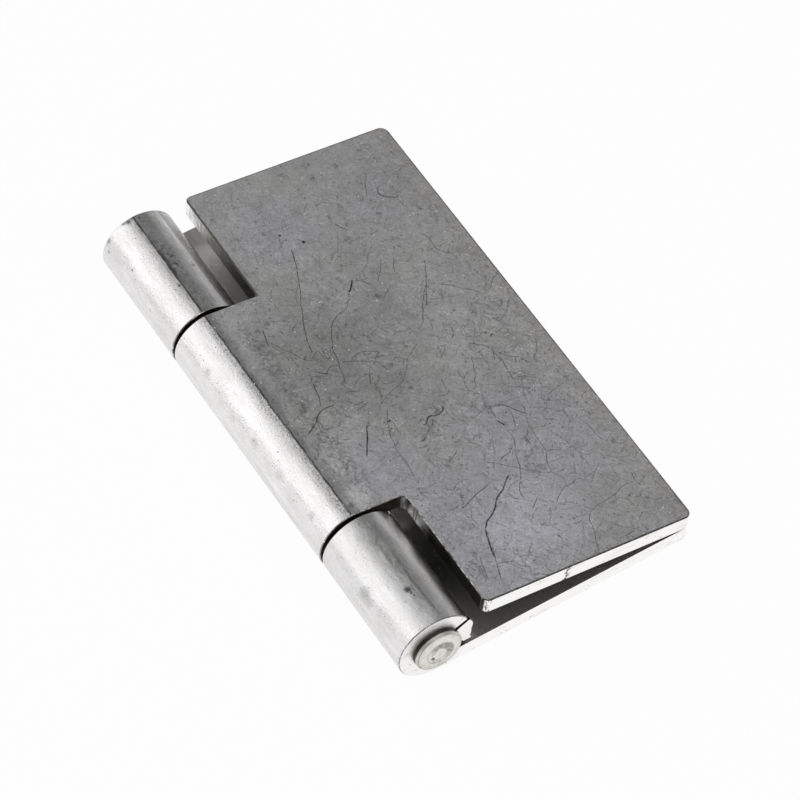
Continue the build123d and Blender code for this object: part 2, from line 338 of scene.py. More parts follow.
# light scuffs on the upper leaf, as the scratches above
RUBS = [
    (0.7, 0.1, [(16.4, 19.1), (17.4, 18.5), (18.2, 18.4)]),
    (0.5, 0.1, [(19.7, 18.4), (20.4, 18.4), (21.5, 17.7)]),
    (0.4, 0.12, [(19.9, 21.0), (20.3, 20.7), (20.9, 20.6)]),
    (0.45, 0.12, [(20.7, 1.9), (21.2, 1.4), (21.6, 1.1)]),
    (0.45, 0.07, [(26.0, -30.5), (27.4, -31.2), (29.1, -32.0)]),
    (0.4, 0.1, [(14.4, -14.9), (14.6, -15.4), (14.9, -16.0)]),
]

# stains on the knuckles: side, degrees around from level, place along the pin, half width, strength
STAINS = [(-1, 93.4, -42.1, 0.62, 0.9), (-1, 92.0, -42.9, 0.35, 0.8), (-1, 90.0, -43.6, 0.25, 0.9),
          (-1, 146.0, -37.4, 1.3, 0.3), (-1, 149.0, -39.0, 0.9, 0.22), (-1, 99.0, 32.5, 0.35, 0.8),
          (-1, 90.0, 43.0, 0.7, 0.35), (-1, 58.0, 35.8, 0.3, 0.8), (-1, 159.0, 33.6, 0.25, 0.5),
          (-1, 145.0, 49.5, 0.6, 0.5), (-1, 157.0, 48.3, 0.3, 0.5), (-1, 104.0, 49.4, 0.5, 0.8),
          (-1, 110.0, 49.7, 0.4, 0.7), (-1, 97.0, 49.6, 0.35, 0.7), (1, 141.0, -19.5, 0.8, 0.2),
          (1, 147.0, -1.4, 0.9, 0.16), (1, 145.0, -9.4, 1.0, 0.16), (1, 140.0, 15.3, 0.8, 0.2),
          (1, 153.0, 5.7, 0.8, 0.14)]

# fine dark lines on the knuckles: side, strength, half width, places as above
KNUCKLE_LINES = [(-1, 0.7, 0.16, [(87.0, -30.8), (89.5, -32.2), (91.0, -34.5)]),
                 (-1, 0.6, 0.2, [(81.5, -33.8), (79.2, -36.8), (79.3, -39.2)]),
                 (-1, 0.6, 0.2, [(79.3, -39.2), (80.4, -41.5), (80.0, -44.6)]),
                 (-1, 0.5, 0.16, [(80.0, -44.6), (79.0, -46.8), (76.8, -48.9)]),
                 (-1, 0.6, 0.15, [(146.0, -36.2), (145.0, -37.2), (144.4, -38.3)]),
                 (1, 0.3, 0.12, [(145.0, -19.0), (141.0, -18.2), (138.0, -19.2)]),
                 (1, 0.3, 0.12, [(138.0, -19.2), (141.0, -20.9), (145.0, -20.2)])]

# soft light and dark clouds on the upper leaf: place, radius and change of brightness
CLOUDS = [((25.0, -40.0), 12.0, 0.2), ((12.0, 7.0), 16.0, -0.22), ((26.0, 8.0), 10.0, -0.08),
          ((20.0, -7.0), 9.0, -0.07), ((42.0, 38.0), 9.0, -0.06), ((33.0, -22.0), 9.0, 0.04),
          ((30.0, 25.0), 10.0, -0.06), ((3.4, 14.2), 1.3, -0.16), ((2.4, 7.4), 1.6, -0.18),
          ((2.5, 3.2), 1.4, -0.16), ((3.0, -1.0), 1.5, -0.2),
          ((18.0, -8.0), 15.0, -0.06), ((35.5, -14.0), 9.0, -0.09), ((38.0, -48.0), 15.0, -0.06),
          ((50.0, -46.0), 9.0, -0.06), ((28.0, 15.0), 6.0, -0.07), ((11.0, 25.0), 6.0, -0.06),
          ((20.0, 5.0), 6.0, 0.06), ((1.1, -21.6), 3.2, 0.45), ((1.9, -14.5), 2.8, 0.2)]

# where the upper leaf looks violet: place, radius and strength
VIOLET_FIELDS = [((20.0, -37.0), 22.0, 1.0), ((19.0, 36.0), 10.0, 1.0), ((8.0, -18.0), 9.0, 1.0),
                 ((35.0, -24.0), 20.0, 0.75), ((40.0, 34.0), 12.0, 0.5)]


NEARLY_STRAIGHT = 0.05


def arc(a, b, c):
    """Centre, radius, middle and reach of the arc through three points of the leaf."""
    (ax, ay), (bx, by), (cx, cy) = a, b, c
    d = 2 * (ax * (by - cy) + bx * (cy - ay) + cx * (ay - by))
    if abs(d) < NEARLY_STRAIGHT:
        d = NEARLY_STRAIGHT
    a2, b2, c2 = ax * ax + ay * ay, bx * bx + by * by, cx * cx + cy * cy
    ux = (a2 * (by - cy) + b2 * (cy - ay) + c2 * (ay - by)) / d
    uy = (a2 * (cx - bx) + b2 * (ax - cx) + c2 * (bx - ax)) / d
    middle = ((ax + cx) / 2, (ay + cy) / 2, 0.0)
    return (ux, uy, 0.0), hypot(ax - ux, ay - uy), middle, hypot(ax - cx, ay - cy) / 2


def drawn_lines(tree, where, listed):
    """Listed scratches, each a chain of arcs through its points."""
    total = None
    for strength, width, points in listed:
        for i in range(0, len(points) - 2, 2):
            centre, radius, middle, reach = arc(*points[i:i + 3])
            given = {"Place": where, "Centre": centre, "Radius": radius, "Middle": middle,
                     "Fading": 0.94 * reach, "Gone": 1.16 * reach,
                     "Width": width * SCRATCH_WIDENING, "Strength": strength}
            line = put(tree, "ShaderNodeGroup", given, node_tree=HAIRLINE).outputs[0]
            # joined at once, since a shader holds only so many values at a time
            total = line if total is None else calc(tree, "MAXIMUM", total, line)
    return total


def crack_web(tree, where, size, width, cover, seed):
    """Broken web of fine hairlines, as handling leaves on rolled sheet."""
    moved = shifted(tree, where, seed)
    cells = put(tree, "ShaderNodeTexVoronoi", {"Vector": moved, "Scale": 1 / size, "Randomness": 1.0},
                feature="DISTANCE_TO_EDGE", voronoi_dimensions="2D").outputs["Distance"]
    line = span(tree, cells, 0.0, width / size, 1.0, 0.0, "LINEAR")
    patches = span(tree, noise(tree, moved, 0.35, 2.0), cover, cover + 0.1)
    return product(tree, line, patches)


def scuffs(tree, where, size, width, bend, share, seed):
    """Short curved hairlines, at most one in a cell, each with its own direction and length."""
    moved = shifted(tree, where, seed)
    cells = put(tree, "ShaderNodeTexVoronoi", {"Vector": moved, "Scale": 1 / size, "Randomness": 0.9},
                feature="F1", voronoi_dimensions="2D").outputs
    one, two, three = put(tree, "ShaderNodeSeparateColor", {0: cells["Color"]}).outputs
    off = vec(tree, "SUBTRACT", moved, cells["Position"])
    off = vec(tree, "MULTIPLY", off, (1.0, 1.0, 0.0))
    u, v, _ = split(tree, turned(tree, off, calc(tree, "MULTIPLY", one, 2 * pi), "Z_AXIS"))
    curve = product(tree, calc(tree, "SUBTRACT", two, 0.5), bend / size, calc(tree, "MULTIPLY", u, u))
    aside = calc(tree, "ABSOLUTE", calc(tree, "ADD", v, curve))
    line = span(tree, aside, 0.0, width, 1.0, 0.0, "LINEAR")
    reach = calc(tree, "MULTIPLY_ADD", three, 0.3 * size, 0.12 * size)
    ending = span(tree, calc(tree, "DIVIDE", calc(tree, "ABSOLUTE", u), reach), 0.7, 1.0, 1.0, 0.0)
    chosen = span(tree, two, 1.0 - share, 1.02 - share, 0.0, 1.0, "LINEAR")
    return product(tree, line, ending, chosen)


def specks(tree, where, size, radius, share, seed, dimensions="2D"):
    """Round specks, at most one in a cell."""
    cells = put(tree, "ShaderNodeTexVoronoi", {"Vector": shifted(tree, where, seed), "Scale": 1 / size},
                feature="F1", voronoi_dimensions=dimensions).outputs
    one, two, _ = put(tree, "ShaderNodeSeparateColor", {0: cells["Color"]}).outputs
    reach = calc(tree, "MULTIPLY_ADD", two, 0.6 * radius / size, 0.4 * radius / size)
    dot = span(tree, calc(tree, "DIVIDE", cells["Distance"], reach), 0.5, 1.0, 1.0, 0.0)
    chosen = span(tree, one, 1.0 - share, 1.02 - share, 0.0, 1.0, "LINEAR")
    return product(tree, dot, chosen)


def spot(tree, where, place, radius, soft):
    """1 within radius of a place on the leaf, falling to 0 over soft."""
    off = vec(tree, "DISTANCE", where, (place[0], place[1], 0.0))
    return span(tree, off, radius, radius + soft, 1.0, 0.0)


# steel of the leaves

def fibres(tree, where, angle, seed):
    """Grain of fine rubbing in one direction."""
    run = turned(tree, shifted(tree, where, seed), angle, "Z_AXIS")
    return noise(tree, stretched(tree, run, 0.18, 1.0, 1.0), 2.4, 3.0, 0.7)


def mill_face(t, flat_place, wavy, level, marked):
    """Dull rolled face with scratches: its brightness, violet share, dark lines and white dust."""
    y = split(t, level)[1]
    handled = product(t, span(t, y, 46.0, 4.0, 0.5, 1.0, "LINEAR"),
                      span(t, noise(t, shifted(t, level, 16.0), 0.09, 3.0), 0.38, 0.6, 0.6, 1.0))
    soft = noise(t, shifted(t, level, 3.0), 0.42, 5.0, 0.68)
    value = about_one(t, noise(t, level, 0.1, 3.0, 0.55), 0.2)
    value = product(t, value, about_one(t, soft, 0.65), about_one(t, noise(t, level, 2.3, 4.0, 0.75), 0.9))
    rubbed = span(t, noise(t, shifted(t, level, 12.0), 0.16, 2.0), 0.42, 0.62)
    grain = blend(t, rubbed, fibres(t, wavy, 0.7, 13.0), fibres(t, wavy, -0.9, 14.0))
    grain = calc(t, "MULTIPLY", calc(t, "SUBTRACT", grain, 0.5), handled)
    value = product(t, value, calc(t, "ADD", grain, 1.0))
    smudges = noise(t, stretched(t, shifted(t, wavy, 15.0), 0.8, 0.45, 1.0), 1.0, 3.0, 0.6)
    smudges = span(t, smudges, 0.6, 0.74)
    value = product(t, value, calc(t, "MULTIPLY_ADD", smudges, -0.42, 1.0))
    violet = product(t, span(t, noise(t, shifted(t, level, 2.0), 0.12, 3.0, 0.5), 0.44, 0.6), 0.35)
    for place, radius, strength in VIOLET_FIELDS:
        field = spot(t, wavy, place, radius * 0.3, radius * 0.8)
        violet = highest(t, violet, product(t, field, span(t, soft, 0.35, 0.55, 0.5 * strength, strength)))
    lines = highest(t, product(t, crack_web(t, wavy, 7.0, 0.17, 0.5, 1.0), 0.65),
                    product(t, crack_web(t, wavy, 3.0, 0.15, 0.52, 2.0), 0.65),
                    product(t, scuffs(t, wavy, 6.0, 0.17, 1.2, 0.6, 4.0), 0.65),
                    product(t, scuffs(t, wavy, 2.8, 0.15, 1.4, 0.6, 5.0), 0.7),
                    product(t, scuffs(t, wavy, 1.5, 0.12, 1.0, 0.6, 6.0), 0.6))
    broken_up = span(t, noise(t, shifted(t, level, 17.0), 1.6, 4.0, 0.7), 0.38, 0.56)
    lines = product(t, lines, handled, blend(t, broken_up, 0.4, 1.0))
    lines = highest(t, lines, product(t, specks(t, flat_place, 1.8, 0.26, 0.25, 7.0), 0.5))
    if marked:
        unsteady = vec(t, "ADD", vec(t, "SCALE", flat_place, scale=0.7), vec(t, "SCALE", wavy, scale=0.3))
        drawn = product(t, drawn_lines(t, unsteady, SCRATCHES), blend(t, broken_up, 0.7, 1.4))
        lines = highest(t, lines, drawn)
        for place, radius, strength in SPOTS:
            here = spot(t, flat_place, place, radius * 0.6, radius * 0.6)
            lines = highest(t, lines, product(t, here, strength))
        for place, radius, change in CLOUDS:
            here = spot(t, wavy, place, radius * 0.2, radius)
            value = product(t, value, calc(t, "MULTIPLY_ADD", here, change, 1.0))
        rubs = product(t, drawn_lines(t, wavy, RUBS), span(t, grain, -0.1, 0.1))
        value = product(t, value, calc(t, "MULTIPLY_ADD", rubs, 1.2, 1.0))
    dusty = span(t, noise(t, shifted(t, flat_place, 8.0), 0.4, 4.0, 0.6), 0.56, 0.64)
    dust = highest(t, product(t, specks(t, flat_place, 0.6, 0.19, 0.5, 9.0), dusty),
                   specks(t, flat_place, 3.4, 0.2, 0.4, 10.0))
    return value, violet, lines, dust


def leaf_steel(name, tilt, face, side):
    """Sheet with mill-finish faces, burnished knuckles, sheared ends and dark broken edges.

    tilt turns the leaf's own axes level; face is its outer face's distance from the pin axis, and
    side is +1 where that face looks up.
    """
    m, t = material(name)
    coords = put(t, "ShaderNodeTexCoord").outputs
    level = turned(t, vec(t, "SCALE", coords["Object"], scale=1000.0), -tilt)
    x, y, z = split(t, level)
    normal = split(t, turned(t, coords["Normal"], -tilt))
    nx, ny, nz = [calc(t, "ABSOLUTE", n) for n in normal]
    wobble = stir(t, level, 0.55, 1.7)
    flat_place = vec(t, "MULTIPLY", level, (1.0, 1.0, 0.0))
    wavy = vec(t, "ADD", flat_place, vec(t, "MULTIPLY", wobble, (1.0, 1.0, 0.0)))
    grain = noise(t, level, 3.0, 4.0, 0.7)
    from_middle = calc(t, "ABSOLUTE", y)

    # where each finish lies
    across = vec(t, "LENGTH", vec(t, "MULTIPLY", level, (1.0, 0.0, 1.0)))
    off_barrel = span(t, x, 7.55, 7.75)
    knuckle = span(t, across, BARREL_R + 0.15, BARREL_R + 0.5, 1.0, 0.0)
    if face < BARREL_R:
        outer_face = span(t, calc(t, "MULTIPLY", z, side), face - 0.12, face - 0.04)
        edge_at = calc(t, "MULTIPLY_ADD", noise(t, level, 1.3, 4.0, 0.7), 0.8, -FLAT_EDGE - 0.6)
        on_flat = span(t, calc(t, "SUBTRACT", x, edge_at), -0.1, 0.15)
        knuckle = product(t, knuckle, inverse(t, product(t, outer_face, on_flat)))
    ends = span(t, ny, 0.8, 0.9)
    gap_end_shade = product(t, ends, span(t, from_middle, HALF_LENGTH - 5.0, HALF_LENGTH - 4.0, 1.0, 0.0))
    walls = product(t, span(t, nz, 0.35, 0.25), off_barrel)
    sheared = highest(t, ends, walls)
    broken = blend(t, off_barrel, band(t, ny, 0.7, 0.08, 0.05), band(t, nz, 0.7, 0.08, 0.05))
    inside = product(t, span(t, across, 6.4, 6.75, 1.0, 0.0), inverse(t, ends))
    inner = product(t, span(t, calc(t, "MULTIPLY", normal[2], -side), 0.7, 0.8), inverse(t, knuckle))

    # mill faces, the ones that look at the other leaf cleaner and smoother
    value, violet, lines, dust = mill_face(t, flat_place, wavy, level, side > 0)
    tint = mix(t, violet, grey(0.62, (1.0, 0.998, 0.99)), grey(0.64, VIOLET))
    if side > 0:
        value = product(t, value, beside_crease(t, x, level))
        stained = calc(t, "MULTIPLY_ADD", noise(t, shifted(t, level, 28.0), 0.25, 4.0, 0.7), 9.0, x)
        tint = mix(t, span(t, stained, 50.0, 53.5, 0.0, 0.8), tint, grey(0.6, (1.03, 0.995, 0.955)))
    mill = vec(t, "SCALE", tint, scale=value)
    mill = mix(t, calc(t, "MULTIPLY", lines, 1.0, clamp=True), mill, grey(0.07, (1.0, 0.98, 0.95)))
    mill_rough = calc(t, "MULTIPLY_ADD", grain, 0.1, 0.5)
    clean = mix(t, noise(t, level, 0.5, 4.0, 0.6), grey(0.56, WARM), grey(0.66, WARM))
    # painted shade: the inner faces deep in the wedge between the leaves, beside the near knuckle, darkened
    wedge_shade = product(t, span(t, y, -47.0, -34.0), span(t, y, -24.0, -26.0), span(t, x, 15.0, 10.0))
    clean = mix(t, wedge_shade, clean, grey(0.2, WARM))
    mill = mix(t, inner, mill, clean)
    mill_rough = blend(t, inner, mill_rough, calc(t, "MULTIPLY_ADD", grain, 0.1, 0.07))

    # burnished knuckles, streaked along the pin and speckled with pits
    streak = noise(t, stretched(t, level, 1.0, 0.12, 1.0), 0.7, 4.0, 0.6)
    smear = noise(t, stretched(t, shifted(t, level, 5.0), 1.0, 0.5, 1.0), 0.3, 5.0, 0.65)
    gleam = product(t, about_one(t, streak, 0.3), about_one(t, smear, 0.5), about_one(t, grain, 0.4))
    turn = calc(t, "MULTIPLY_ADD", calc(t, "ARCTAN2", z, x), 180.0 / pi, -180.0 * tilt / pi)
    round_barrel = calc(t, "MULTIPLY", turn, PER_DEGREE)
    unrolled = put(t, "ShaderNodeCombineXYZ", {0: round_barrel, 1: y}).outputs[0]
    pitted = span(t, noise(t, shifted(t, level, 6.0), 0.22, 3.0), 0.45, 0.62)
    flanks = highest(t, band(t, turn, 105.0, 4.0, 9.0), band(t, turn, 142.0, 3.0, 7.0),
                     product(t, pitted, 0.7))
    pits = highest(t, product(t, specks(t, level, 0.45, 0.15, 0.48, 11.0, "3D"), flanks),
                   product(t, specks(t, level, 0.9, 0.2, 0.35, 18.0, "3D"), pitted, 0.8),
                   product(t, specks(t, level, 2.6, 0.34, 0.3, 12.0, "3D"), 0.7))
    bright = mix(t, smear, grey(0.78, (1.0, 0.985, 0.95)), grey(0.77, (0.995, 0.985, 1.005)))
    bright = mix(t, span(t, streak, 0.5, 0.7), bright, grey(0.8, PINK))
    # painted light and shade on the knuckles: the near knuckle's crown lighter, the far knuckle's lower
    # flank darker, the middle knuckle's upper left side a little lighter
    if side < 0:
        painted_crown_light = product(t, band(t, turn, 90.0, 5.0, 8.0), span(t, y, -26.0, -28.0))
        painted_foot_shade = product(t, band(t, turn, 30.0, 19.0, 6.0), span(t, y, 24.0, 25.0))
        painted_shading = product(t, blend(t, painted_crown_light, 1.0, 1.25), blend(t, painted_foot_shade, 1.0, 0.5))
    else:
        painted_shading = span(t, turn, 130.0, 150.0, 1.0, 1.05)
    bright = vec(t, "SCALE", bright, scale=product(t, gleam, painted_shading))
    rubbed = product(t, band(t, from_middle, HALF_LENGTH - 0.95, 0.08, 0.12), span(t, streak, 0.4, 0.55))
    bright = mix(t, product(t, rubbed, 0.35), bright, grey(0.95))
    bright = mix(t, knuckle_marks(t, unrolled, level, turn, y, side), bright, grey(0.08, (1.0, 0.97, 0.97)))
    bright = mix(t, product(t, pits, 0.8), bright, grey(0.1, WARM))
    bright_rough = calc(t, "MULTIPLY_ADD", smear, 0.3, 0.1)
    if side < 0:
        bright_rough = calc(t, "ADD", bright_rough, span(t, y, -26.0, -25.0, 0.04, 0.0))

    # sheared ends and walls
    shear = noise(t, stretched(t, level, 1.0, 1.0, 0.12), 2.2, 3.0, 0.6)
    nicks = span(t, noise(t, shifted(t, level, 7.0), 0.9, 5.0, 0.7), 0.6, 0.7)
    smears = noise(t, stretched(t, shifted(t, level, 19.0), 0.4, 1.0, 1.6), 0.5, 4.0, 0.65)
    smears = span(t, smears, 0.5, 0.72)
    cut = mix(t, shear, grey(1.0, WARM), grey(0.98, NEUTRAL))
    cut = vec(t, "SCALE", cut, scale=about_one(t, shear, 0.06))
    cut = mix(t, product(t, smears, 0.25), cut, grey(0.6, BROWN))
    cut = mix(t, product(t, nicks, 0.5), cut, grey(0.25, BROWN))
    lit = blend(t, span(t, y, -10.0, 10.0, kind="LINEAR"), span(t, y, -33.5, -31.0), span(t, y, 30.0, 43.0))
    even = span(t, noise(t, stretched(t, level, 1.0, 1.0, 0.1), 1.3, 3.0, 0.6), 0.36, 0.5, 0.6, 1.0)
    streaky = span(t, noise(t, stretched(t, level, 1.0, 1.0, 0.08), 1.9, 4.0, 0.7), 0.4, 0.52, 0.08, 1.0)
    lit = product(t, lit, blend(t, span(t, y, -10.0, 10.0, kind="LINEAR"), streaky, even))
    notch_wall = product(t, walls, span(t, x, 41.0, 40.0), span(t, from_middle, 48.9, 48.6))
    cut = mix(t, product(t, notch_wall, inverse(t, lit), 0.9), cut, grey(0.13, BROWN))
    on_ring = product(t, ends, span(t, across, BARREL_R + 0.4, BARREL_R + 0.6, 1.0, 0.0))
    cut_rough = blend(t, ends, 0.22, blend(t, on_ring, 0.36, 0.42))
    if side > 0:
        streaked = span(t, noise(t, stretched(t, level, 1.0, 1.0, 0.15), 1.9, 4.0, 0.75), 0.44, 0.54)
        corner = product(t, span(t, y, -48.9, -49.2), span(t, x, 10.4, 9.6))
        cut = mix(t, product(t, corner, streaked, 0.85), cut, grey(0.06, BROWN))
        tear = calc(t, "ADD", x, calc(t, "SUBTRACT", calc(t, "PINGPONG", z, 0.8), 0.4))
        tear = calc(t, "MULTIPLY_ADD", noise(t, level, 2.4, 4.0, 0.75), 1.6, calc(t, "SUBTRACT", tear, 0.8))
        near_end = span(t, y, -49.0, -49.5)
        # painted shade: a grey band along one side of the tear
        tear_side_shade = product(t, band(t, tear, NICK + 0.3, 0.3, 0.3), near_end, 0.25)
        cut = mix(t, tear_side_shade, cut, grey(0.3, WARM))
        cut = mix(t, product(t, band(t, tear, NICK, 0.1, 0.12), near_end, 0.9), cut, grey(0.08, BROWN))
    # painted shade: the knuckle end faces that face each other across the gaps between knuckles are dark
    # brown
    cut = mix(t, gap_end_shade, cut, mix(t, shear, grey(0.1, BROWN), grey(0.22, BROWN)))
    glint = span(t, noise(t, level, 1.8, 3.0, 0.6), 0.5, 0.68)
    dull_edge = mix(t, glint, grey(0.06, BROWN), grey(0.3, WARM))
    shiny = noise(t, stretched(t, shifted(t, level, 27.0), 1.0, 0.7, 1.0), 1.6, 4.0, 0.75)
    shiny = product(t, span(t, shiny, 0.4, 0.54), span(t, y, 0.0, -10.0))
    notch_edge = mix(t, shiny, grey(0.1, BROWN), grey(0.6, WARM))
    edge = mix(t, span(t, normal[0], -0.5, -0.6), dull_edge, notch_edge)
    edge = mix(t, off_barrel, mix(t, glint, grey(0.3, WARM), grey(0.85, WARM)), edge)

    colour = mix(t, knuckle, mill, bright)
    if side > 0:
        # painted shade along the crease beside the middle knuckle
        colour = mix(t, crease_line(t, x, z, level), colour, grey(0.07, WARM))
        from_outline = calc(t, "MINIMUM", calc(t, "SUBTRACT", HALF_LENGTH, x),
                            calc(t, "SUBTRACT", HALF_LENGTH, calc(t, "ABSOLUTE", calc(t, "ADD", y, 0.15))))
        beside_notch = calc(t, "MULTIPLY_ADD", span(t, y, 24.3, 24.2), 9.0, calc(t, "SUBTRACT", x, 8.75))
        from_outline = calc(t, "MINIMUM", from_outline, beside_notch)
        from_outline = calc(t, "MULTIPLY_ADD", noise(t, level, 0.8, 4.0, 0.7), -0.5, from_outline)
        edge_grime = product(t, span(t, from_outline, -0.1, 0.16, 1.0, 0.0), outer_face, off_barrel)
        colour = mix(t, product(t, edge_grime, 0.75), colour, grey(0.1, BROWN))
    # painted shade inside the bore
    colour = mix(t, product(t, inside, 0.8), colour, grey(0.16, BROWN))
    colour = mix(t, sheared, colour, cut)
    colour = mix(t, broken, colour, edge)
    if side < 0:
        # painted shade on the walls of the split in the near knuckle's end
        gap_place = turned(t, level, radians(SPLIT))
        split_shade = product(t, band(t, split(t, gap_place)[2], 0.0, 0.6, 0.02), span(t, y, -49.1, -49.2),
                           span(t, x, 2.0, 2.2), inverse(t, ends))
        colour = mix(t, split_shade, colour, grey(0.05, BROWN))
    on_mill = product(t, inverse(t, knuckle), inverse(t, sheared), inverse(t, broken))
    dust = product(t, dust, on_mill, calc(t, "MULTIPLY_ADD", inner, -0.7, 1.0))
    colour = mix(t, dust, colour, grey(0.9))
    rough = blend(t, knuckle, mill_rough, bright_rough)
    rough = blend(t, sheared, rough, cut_rough)
    rough = calc(t, "ADD", rough, product(t, lines, on_mill, 0.15), clamp=True)
    metal = blend(t, product(t, inner, on_mill), 1.0, 0.86)
    metal = blend(t, product(t, on_ring, inverse(t, gap_end_shade), inverse(t, broken)), metal, 0.9)
    metal = product(t, metal, inverse(t, dust))

    height = calc(t, "MULTIPLY_ADD", smear, 2.0, calc(t, "MULTIPLY", grain, 0.5))
    steel_output(t, colour, metal, rough, height, 0.00008)
    return m


def beside_crease(t, x, level):
    """Brightness of the upper leaf, darker towards its barrel, with a mottled band beyond."""
    patchy = noise(t, stretched(t, shifted(t, level, 20.0), 1.0, 0.3, 1.0), 0.35, 4.0, 0.65)
    reach = calc(t, "MULTIPLY_ADD", patchy, 9.0, -4.2)
    y = split(t, level)[1]
    mottled = span(t, noise(t, shifted(t, level, 22.0), 1.3, 5.0, 0.75), 0.46, 0.6)
    mottled = product(t, mottled, band(t, x, 3.2, 0.7, 1.8), band(t, y, -2.0, 18.0, 5.0), -0.38)
    # darker towards the barrel
    pressed = span(t, calc(t, "SUBTRACT", x, reach), -2.0, 1.2, 0.62, 1.0)
    return product(t, pressed, calc(t, "ADD", mottled, 1.0))


def crease_line(t, x, z, level):
    """Dark wavering line along the crease beside the middle knuckle, painted shade, with dark flecks on the
    knuckle's side.
    """
    patchy = noise(t, stretched(t, shifted(t, level, 23.0), 1.0, 0.4, 1.0), 0.7, 4.0, 0.7)
    waver = calc(t, "MULTIPLY_ADD", noise(t, shifted(t, level, 24.0), 0.4, 5.0, 0.7), 0.9, -2.15)
    off = calc(t, "SUBTRACT", x, waver)
    line = product(t, band(t, off, 0.0, 0.07, 0.13), span(t, patchy, 0.36, 0.56, 0.35, 0.95))
    flecks = span(t, noise(t, shifted(t, level, 21.0), 2.4, 4.0, 0.75), 0.52, 0.62)
    flecks = product(t, band(t, off, -0.35, 0.25, 0.5), flecks, 0.6)
    return product(t, highest(t, line, flecks), span(t, z, 6.0, 6.4))


def knuckle_marks(t, unrolled, level, turn, y, side):
    """Stains, lines and the pressed edge that the knuckles show, as a share of dark."""
    patchy = noise(t, stretched(t, shifted(t, level, 9.0), 1.0, 0.35, 1.0), 1.1, 5.0, 0.7)
    patchy = span(t, patchy, 0.4, 0.6)
    stirred = vec(t, "ADD", unrolled, vec(t, "MULTIPLY", stir(t, level, 1.1, 1.1), (1.0, 1.0, 0.0)))
    marks = []
    for on_side, degrees_round, along, half, strength in STAINS:
        if on_side == side:
            soft = spot(t, stirred, (degrees_round * PER_DEGREE, along), half * 0.35, half * 1.1)
            marks.append(product(t, soft, strength))
    lines = [(strength, width, [(d * PER_DEGREE, along) for d, along in points])
             for on_side, strength, width, points in KNUCKLE_LINES if on_side == side]
    marks.append(product(t, drawn_lines(t, stirred, lines), blend(t, patchy, 0.5, 1.0)))
    if side > 0:
        flecks = span(t, noise(t, shifted(t, level, 25.0), 2.6, 3.0, 0.7), 0.52, 0.64)
        marks.append(product(t, band(t, turn, 100.0, 2.0, 6.0), flecks, 0.5))
    else:
        wander = calc(t, "MULTIPLY_ADD", noise(t, level, 0.5, 4.0, 0.7), 2.5, 93.4)
        off_seam = calc(t, "SUBTRACT", turn, wander)
        far = span(t, y, 24.5, 25.5)
        worn = band(t, y, 38.0, 2.0, 3.0)
        marks.append(product(t, band(t, off_seam, 0.0, 0.75, 1.5), far, blend(t, patchy, 0.65, 1.0)))
        marks.append(product(t, band(t, off_seam, -3.2, 0.6, 1.4), far, worn, blend(t, patchy, 0.3, 0.9)))
        mottled = span(t, noise(t, shifted(t, level, 26.0), 1.0, 5.0, 0.75), 0.45, 0.62)
        marks.append(product(t, band(t, off_seam, -8.0, 6.0, 10.0), far, mottled, blend(t, worn, 0.3, 0.7)))
        marks.append(product(t, band(t, off_seam, -1.8, 2.0, 1.4), far, band(t, y, 37.4, 1.8, 2.0),
                             blend(t, patchy, 0.6, 1.0)))
        marks.append(product(t, band(t, off_seam, 2.4, 1.0, 3.0), far, patchy, 0.4))
        streaks = product(t, band(t, turn, 90.0, 3.0, 10.0), span(t, y, -28.0, -31.0), patchy, 0.4)
        marks.append(streaks)
        marks.append(product(t, band(t, turn, 79.5, 1.0, 4.0), span(t, y, -32.0, -35.0), patchy, 0.45))
    return highest(t, *marks)


# steel of the pin

STAKE = (0.1, 0.0, -0.5)
PIT = (-1.27, 0.0, -1.14)


